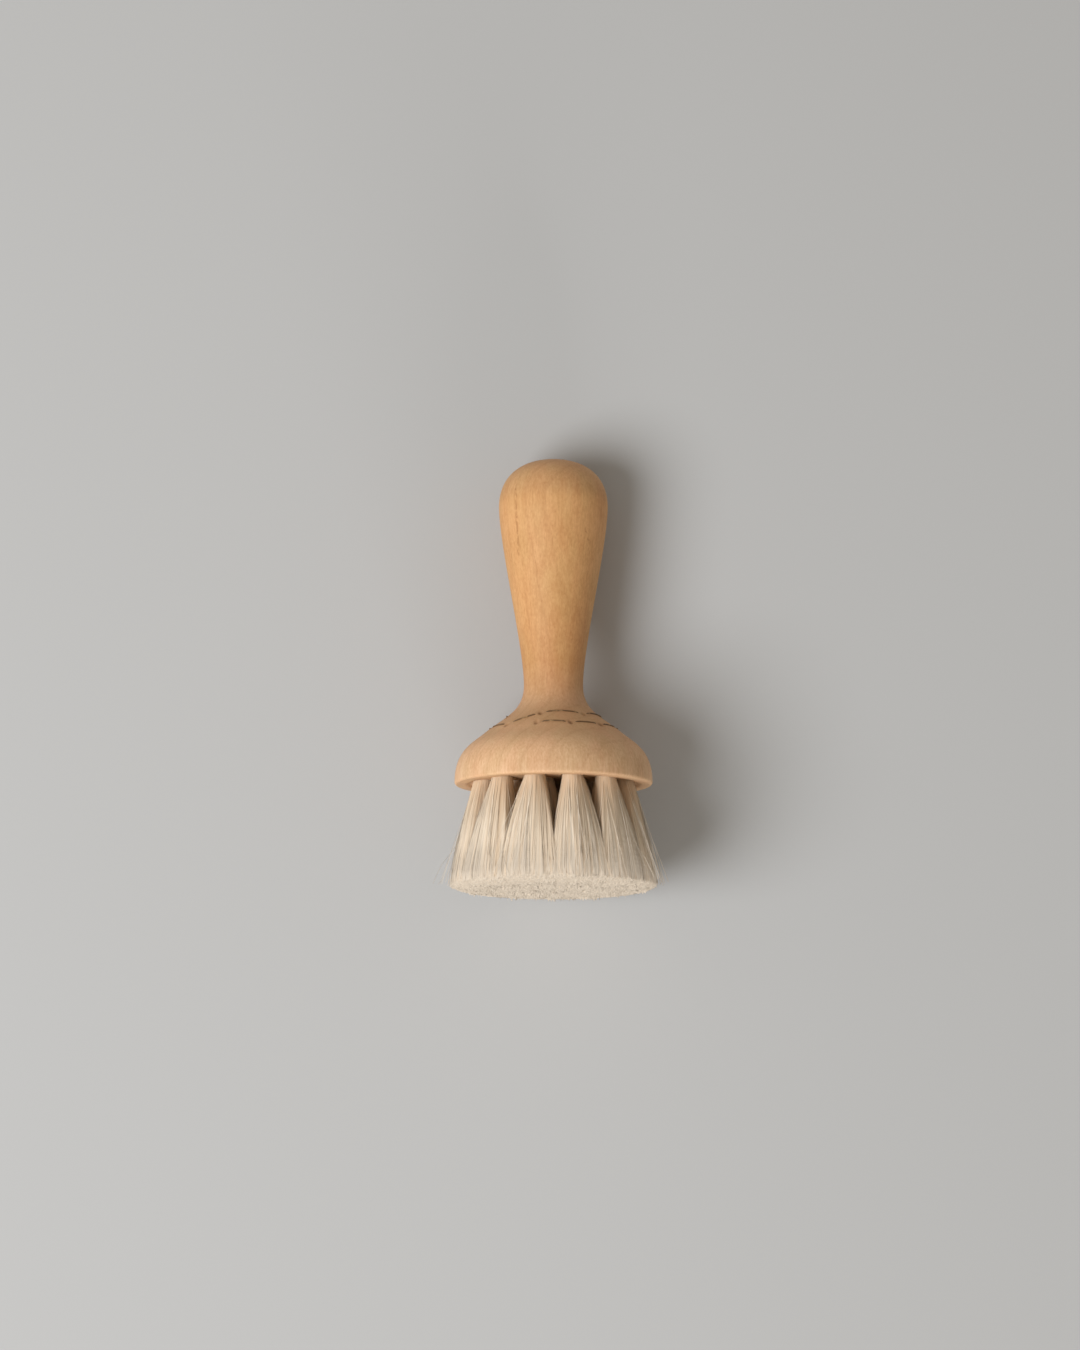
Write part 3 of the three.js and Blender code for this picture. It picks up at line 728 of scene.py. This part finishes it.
class Tuft:
    """One tuft of a ring, with the uneven locks round it."""

    def __init__(self, fan, index, rng):
        self.fan = fan
        self.number = f"{index + 1:02d}"
        self.across = fan.ring.across[index]
        self.outward = fan.ring.outward[index]
        widths = rng.uniform(*LOCK_WIDTHS, LOCKS)
        self.lock_edges = 2 * np.pi * np.cumsum(widths) / widths.sum()
        self.lock_widths = 2 * np.pi * widths / widths.sum()
        self.lock_tones = rng.normal(0, LOCK_TONES, LOCKS)
        self.lock_heights = rng.normal(0, LOCK_HEIGHTS, LOCKS)
        self.lock_lengths = rng.normal(0, LOCK_LENGTHS, LOCKS)
        self.phase = rng.uniform(0, 2 * np.pi)

    def way(self, turn):
        """The direction at a turn about the tuft's middle line: cos turn across the ring and
        sin turn away from the brush's axis."""
        return np.cos(turn)[..., None] * self.across + np.sin(turn)[..., None] * self.outward

    def spread(self, share, turn, along):
        """Points of the tuft at a share of its radius, a turn about its middle line and a part of its
        length. The radius grows from the bundle's to the reach of the tuft's sector, as 1 less a
        power of the part that is left, and the tips stand on a low dome with a rounded edge."""
        share, turn, along = np.broadcast_arrays(share, turn, along)
        reach = self.fan.reach(turn)
        part = np.clip(along, 0, 1)
        opened = 1 - (1 - part) ** FAN_POWER
        radius = share * (BUNDLE_RADIUS + (reach - BUNDLE_RADIUS) * opened)
        mouth_radius = self.fan.ring.mouth_radius
        middle = mouth_radius + (self.fan.middle - mouth_radius) * part
        tip = np.hypot(share * reach * np.cos(turn), self.fan.middle + share * reach * np.sin(turn))
        rounding = np.clip(1 - (TIP_RADIUS - tip) / TIP_ROUND_WIDTH, 0, 1)
        fall = HAIR_LENGTH + TIP_DOME * (1 - (tip / TIP_RADIUS) ** 2)
        fall -= TIP_ROUND * (1 - np.sqrt(1 - rounding**2))
        aside = radius[..., None] * self.way(turn) + middle[..., None] * self.outward
        return aside - (fall * along)[..., None] * (0, 1, 0)

    def locks(self, turn, along):
        """The shares of the tuft's radius and of its length that its locks reach, and their tone, with
        shade painted into the grooves. All fall off towards the grooves, by a power of the distance from a
        lock's middle."""
        turn = turn + LOCK_WANDER * np.sin(WANDER_WAVES * turn + self.phase) * (along - WANDER_MIDDLE)
        turn = turn % (2 * np.pi)
        lock = np.minimum(np.searchsorted(self.lock_edges, turn), LOCKS - 1)
        place = 2 * (self.lock_edges[lock] - turn) / self.lock_widths[lock] - 1
        groove = np.abs(place) ** GROOVE_POWER
        full = np.interp(along, LOCK_PARTS, LOCK_FULLNESS)
        reached = 1 + full * (self.lock_heights[lock] - GROOVE_DEPTH * groove)
        length = 1 + self.lock_lengths[lock] - GROOVE_LENGTH * groove
        # Painted shade: the tone darkens towards each groove between locks.
        tone_and_shading = MEAN_TONE + self.lock_tones[lock] - GROOVE_SHADE * groove * full
        return reached, length, tone_and_shading

    def bundle(self, rng):
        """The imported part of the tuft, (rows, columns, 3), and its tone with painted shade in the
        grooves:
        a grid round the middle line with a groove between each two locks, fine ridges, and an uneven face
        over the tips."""
        turn = np.linspace(0, 2 * np.pi, BUNDLE_COLUMNS, endpoint=False)[None]
        along, share = BUNDLE_ROWS[:, :1], BUNDLE_ROWS[:, 1:]
        reached, length, tone_and_shading = self.locks(turn, along)
        ridge = rng.normal(size=(1, BUNDLE_COLUMNS))
        side = smooth_step((share - SIDE_SHARE) / SIDE_EASE)
        fine = (ridge + np.roll(ridge, 1, 1) + RIDGE_BREAK * rng.normal(size=tone_and_shading.shape)) * side
        face = (share * self.fan.reach(turn))[..., None] * np.stack([np.cos(turn), np.sin(turn)], -1)
        uneven = ripple(face, rng) * smooth_step((along - FACE_FROM) / FACE_EASE)
        length = 1 + (length - 1) * side + RIDGE_LENGTH * fine + FACE_UNEVEN * uneven
        points = self.spread(share * (reached + RIDGE_DEPTH * fine), turn, along * length)
        return points, MEAN_TONE + (tone_and_shading - MEAN_TONE) * side + RIDGE_TONE * fine + FACE_TONE * uneven

    def hair_lines(self, share, splay, drift, reach, rows, rng):
        """Middle lines of hairs, (hairs, rows, 3), with their tones, painted lighter as light would fall
        on a hair the farther it splays, parts of the length and ways out of the tuft. A hair keeps its
        share of the tuft's radius, splays and drifts a little on its way down, bows, and ends near the
        trimmed face."""
        count = len(share)
        turn = 2 * np.pi * rng.random((count, 1)) + drift[:, None] * rows
        along = rows[None] * reach[:, None]
        reached, _, tone_and_shading = self.locks(turn, along)
        line = self.spread(share[:, None] * reached + splay[:, None] * rows**SPLAY_POWER, turn, along)
        line += HAIR_BOW * rng.normal(size=(count, 1, 3)) * np.sin(np.pi * rows)[:, None] * (1, 0, 1)
        below = np.maximum(FLOOR_GAP - laid(line)[..., 2:] / MILLIMETRE, 0)
        line += below * brush_axes[:, 2]
        # Painted light: a hair's tone is lighter the farther it splays out of the tuft.
        tone_and_shading = tone_and_shading[:, -1:] + HAIR_TONES * rng.normal(size=(count, 1)) + splay[:, None]
        return line, np.repeat(tone_and_shading, len(rows), axis=1), along, self.way(turn)

    def hair_tubes(self, line, thickness, rng):
        """Three-sided hairs about their middle lines, (hairs, rows, sides, 3)."""
        count = len(line)
        radius = thickness[:, None, None, None] / 2 * rng.uniform(*HAIR_THICKNESSES, (count, 1, 1, 1))
        turn = 2 * np.pi * (np.arange(HAIR_SIDES) / HAIR_SIDES + rng.random((count, 1)))
        return line[:, :, None] + radius * self.way(turn)[:, None]


def hair_faces(count, rows, first):
    """Side quads and end triangles of hairs whose points start at this index."""
    index = first + np.arange(count * rows * HAIR_SIDES).reshape(count, rows, HAIR_SIDES)
    right = np.roll(index, -1, axis=2)
    sides = np.stack([index[:, :-1], right[:, :-1], right[:, 1:], index[:, 1:]], -1)
    return sides.reshape(-1, 4), np.concatenate([index[:, 0, ::-1], index[:, -1]])


# Colours of the hair: by its tone, near the roots with painted shade, darker at the tips with painted
# shade, and on the cut face.
HAIR_MAP = "OFBake"
HAIR_COLOURS = [
    (0.0, (0.5, 0.36, 0.23)),
    (0.3, (0.7, 0.55, 0.4)),
    (0.6, (0.8, 0.675, 0.53)),
    (1.0, (0.92, 0.84, 0.73)),
]
ROOT_TINT_AND_SHADE = (0.93, 0.85, 0.76, 1)
TIP_EVEN_SHADE = (0.66, 0.572, 0.472, 1)
CUT_SHADE = (0.9, 0.89, 0.88, 1)
CUT_LIGHT = (1.08, 1.085, 1.09, 1)
CUT_ENDS_PER_METRE = 2400.0

# The parts of the map's length over which the root's tint and painted shade fade, the tips turn
# even and darker with painted shade, and the cut face begins.
ROOT_FADE = (0.0, 0.6)
TIP_FADE = (0.6, 1.0)
TIP_EVEN_SHADE_STRENGTH = 0.75
CUT_FADE = (0.945, 0.966)
CUT_CONTRAST = (0.3, 0.7)


def goat_hair():
    """Undyed goat hair: cream, with tan hairs among nearly white ones, warmer and darker near the roots,
    partly its own colour and partly painted shade from the rim, more even and darker at the tips, with
    shade painted among the hair ends, and stippled on the cut face. The map's u is a hair's tone, with
    painted shade in the grooves between locks and painted light on splayed hairs, and v runs along it."""
    material, shade = new_material("goat_hair")
    place = shade.make("UVMap", {"uv_map": HAIR_MAP})
    tone_and_shading, along = (shade.make("SeparateXYZ", {}, {0: place}, output=axis) for axis in range(2))
    colour = shade.make("ValToRGB", {"stops": HAIR_COLOURS}, {0: tone_and_shading})
    # Painted shade: darker and warmer near the roots, where the rim shades them, over a slight warmth of
    # the hair's own.
    colour = (1 - along.between(*ROOT_FADE)).tints(colour, ROOT_TINT_AND_SHADE)
    # Painted shade: towards the tips the tones even out to one darker colour, for the shade among the hair
    # ends.
    tip_evening_and_shade = (along + tone_and_shading - MEAN_TONE).between(*TIP_FADE) * TIP_EVEN_SHADE_STRENGTH
    colour = tip_evening_and_shade.mixed(colour, TIP_EVEN_SHADE)
    spot = shade.make("TexCoord", output="Object")
    ends = {"Vector": spot, "Scale": CUT_ENDS_PER_METRE, "Detail": 1.0}
    stipple = shade.make("TexNoise", {}, ends).between(*CUT_CONTRAST).mixed(CUT_SHADE, CUT_LIGHT)
    colour = along.between(*CUT_FADE).tints(colour, stipple)
    shade.finish({"Base Color": colour, "Roughness": 0.75, "IOR": 1.4, "Specular IOR Level": 0.25})
    return material


hair_finish = goat_hair()

# Towards the tips more and more of what shows is cut ends, so the hair there turns to face as they
# do, sooner on pale locks. The map keeps a little way inside its square.
ENDS_FROM = 0.35
ENDS_TURN = 1.5
ENDS_BY_TONE = 0.7
MAP_SIZE = (0.94, 0.96)
MAP_START = (0.03, 0.01)


def dressed(tuft, part, points, spots, quads, triangles, facing=None):
    """A piece of a tuft's hair, with its map and its finish. Its spots are a tone and a part of the
    length for each point. Its points face as the mesh does, or as given, until near the tips."""
    ring_name = tuft.fan.ring.name
    piece = surface(f"{ring_name}_{part}_{tuft.number}", points, quads, triangles)
    if facing is None:
        own = np.empty(points.size, np.float32)
        piece.data.vertex_normals.foreach_get("vector", own)
        facing = own.reshape(-1, 3) @ brush_axes.T
    reached = spots[:, 1:] + ENDS_BY_TONE * (spots[:, :1] - MEAN_TONE)
    facing = facing - ENDS_TURN * smooth_step((reached - ENDS_FROM) / (1 - ENDS_FROM)) * (0, 1, 0)
    facing /= np.linalg.norm(facing, axis=1, keepdims=True)
    piece.data.normals_split_custom_set_from_vertices(facing @ brush_axes)
    places = np.clip(spots, 0, 1) * MAP_SIZE + MAP_START
    corners = np.concatenate([quads.ravel(), triangles.ravel()])
    layer = piece.data.uv_layers.new(name=HAIR_MAP)
    layer.uv.foreach_set("vector", places[corners].astype(np.float32).ravel())
    piece.data.materials.append(hair_finish)
    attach(piece, "root")
    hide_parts(f"{ring_name}_hair", f"{ring_name}_tuft_fold_{tuft.number}")


def add_bundle(tuft, rng):
    """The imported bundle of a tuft, closed in its socket and in the middle of its trimmed face."""
    packed, tone_and_shading = tuft.bundle(rng)
    ends = tuft.spread(np.zeros(2), np.zeros(2), np.array([ROOT_PART, FACE_PART]))
    along = np.repeat(BUNDLE_ROWS[:, 0], BUNDLE_COLUMNS)
    dressed(
        tuft, "tuft",
        np.concatenate([packed.reshape(-1, 3), ends]),
        np.concatenate([np.stack([tone_and_shading.ravel(), along], -1), [(POLE_TONE, 0), (POLE_TONE, 1)]]),
        band_faces(len(BUNDLE_ROWS), BUNDLE_COLUMNS),
        end_fans(len(BUNDLE_ROWS), BUNDLE_COLUMNS),
    )


# Loose hairs lie on the bundle and end unevenly near its face. Some are strays, which are coarser,
# splay out of the tuft and drift round it. Cut hairs stand a little out of the face.
LOOSE_HAIRS = 150
LOOSE_ROWS = np.array([0, 0.2, 0.4, 0.6, 0.8, 0.92, 1])
LOOSE_THICKNESS = 0.09
LOOSE_SHARE = 1.005
LOOSE_SHARE_SPREAD = 0.012
LOOSE_SPLAY = 0.015
LOOSE_DRIFT = 0.09
LOOSE_REACH = 0.92
LOOSE_REACH_SPREAD = 0.1
LOOSE_REACH_MOST = 1.025
STRAY_PART = 0.18
STRAY_THICKNESS = 0.14
STRAY_SPLAY = 0.3
STRAY_DRIFT = 0.5
CUT_HAIRS = 500
CUT_ROWS = np.array([0.97, 1])
CUT_THICKNESS = 0.12
CUT_SHARE_MOST = 1.02
CUT_REACH_SPREAD = 0.0035

# A hair faces mostly as its tuft does, and less as its own round does. On the map it has a little
# width and height, so that none of its faces is a mere line there.
OWN_ROUND = 0.7
TONE_WIDTH = 0.006
END_HEIGHT = 0.01


def add_hairs(tuft, rng):
    """The single hairs of a tuft, loose and cut, as one piece."""
    stray = rng.random(LOOSE_HAIRS) < STRAY_PART
    share = LOOSE_SHARE + LOOSE_SHARE_SPREAD * rng.normal(size=LOOSE_HAIRS)
    splay = np.where(stray, STRAY_SPLAY, LOOSE_SPLAY) * np.abs(rng.normal(size=LOOSE_HAIRS))
    drift = np.where(stray, STRAY_DRIFT, LOOSE_DRIFT) * rng.normal(size=LOOSE_HAIRS)
    reach = np.minimum(rng.normal(LOOSE_REACH, LOOSE_REACH_SPREAD, LOOSE_HAIRS), LOOSE_REACH_MOST)
    reach = np.where(stray, 1, reach)
    loose = tuft.hair_lines(share, splay, drift, reach, LOOSE_ROWS, rng)
    loose_thickness = np.where(stray, STRAY_THICKNESS, LOOSE_THICKNESS)

    share = CUT_SHARE_MOST * np.sqrt(rng.random(CUT_HAIRS))
    straight = np.zeros(CUT_HAIRS)
    reach = 1 + CUT_REACH_SPREAD * rng.normal(size=CUT_HAIRS)
    cut = tuft.hair_lines(share, straight, straight, reach, CUT_ROWS, rng)
    cut_thickness = np.full(CUT_HAIRS, CUT_THICKNESS)

    side = np.arange(HAIR_SIDES) - 1
    parts = []
    first = 0
    for (line, tone_and_shading, along, out), thickness in [(loose, loose_thickness), (cut, cut_thickness)]:
        tubes = tuft.hair_tubes(line, thickness, rng)
        own_round = tubes - line[:, :, None]
        own_round /= np.linalg.norm(own_round, axis=-1, keepdims=True)
        facing = out[:, :, None] + OWN_ROUND * own_round
        u = tone_and_shading[..., None] + TONE_WIDTH * side
        v = along[..., None] + END_HEIGHT * (side == 0)
        spots = np.stack(np.broadcast_arrays(u, v), -1)
        quads, triangles = hair_faces(*along.shape, first)
        parts.append((tubes.reshape(-1, 3), spots.reshape(-1, 2), quads, triangles, facing.reshape(-1, 3)))
        first += len(parts[-1][0])
    dressed(tuft, "hairs", *map(np.concatenate, zip(*parts)))


HAIR_SEED = 11
hair_rng = np.random.default_rng(HAIR_SEED)
for fan in (inner_fan, outer_fan):
    for index in range(fan.ring.count):
        tuft = Tuft(fan, index, hair_rng)
        add_bundle(tuft, hair_rng)
        add_hairs(tuft, hair_rng)

# Floor, light and camera: a plain pale floor, a large soft light high on the left of the picture, a
# smaller one low in front of the tips and an even warm sky, seen from straight above.
FLOOR_HALF = 1.5
FLOOR_PAINT = (0.5, 0.51, 0.52, 1)
SKY_COLOUR = (1, 0.905, 0.775, 1)
SKY_STRENGTH = 0.335
CAMERA_PLACE = (-0.00342, 0.00121, 0.95)
CAMERA_SENSOR = 36
CAMERA_LENS = 97.7
scene = bpy.context.scene

floor_mesh = bpy.data.meshes.new("floor")
floor_corners = FLOOR_HALF * np.array([(-1, -1, 0), (1, -1, 0), (1, 1, 0), (-1, 1, 0)])
floor_mesh.from_pydata(floor_corners.tolist(), [], [(0, 1, 2, 3)])
floor = bpy.data.objects.new("floor", floor_mesh)
scene.collection.objects.link(floor)
floor_paint, floor_shade = new_material("floor_paint")
floor_shade.finish({"Base Color": FLOOR_PAINT, "Roughness": 0.85})
floor_mesh.materials.append(floor_paint)


def add_lamp(name, size, energy, place):
    """A round soft light at a place, turned to the middle of the floor."""
    light = bpy.data.lights.new(name, "AREA")
    light.shape = "DISK"
    light.size = size
    light.energy = energy
    lamp = bpy.data.objects.new(name, light)
    lamp.location = place
    scene.collection.objects.link(lamp)
    aim = lamp.constraints.new("TRACK_TO")
    aim.target = floor
    aim.track_axis = "TRACK_NEGATIVE_Z"
    aim.up_axis = "UP_Y"


add_lamp("window", size=1.0, energy=18.6, place=(-0.88, -0.33, 1.17))
add_lamp("front", size=0.5, energy=6.2, place=(0.15, -1.4, 0.32))

world = bpy.data.worlds.new("sky")
world.use_nodes = True
sky = world.node_tree.nodes["Background"]
sky.inputs["Color"].default_value = SKY_COLOUR
sky.inputs["Strength"].default_value = SKY_STRENGTH
scene.world = world
scene.view_settings.view_transform = "Standard"

camera_data = bpy.data.cameras.new("camera")
camera_data.sensor_width = CAMERA_SENSOR
camera_data.lens = CAMERA_LENS
camera = bpy.data.objects.new("camera", camera_data)
camera.location = CAMERA_PLACE
scene.collection.objects.link(camera)
scene.camera = camera
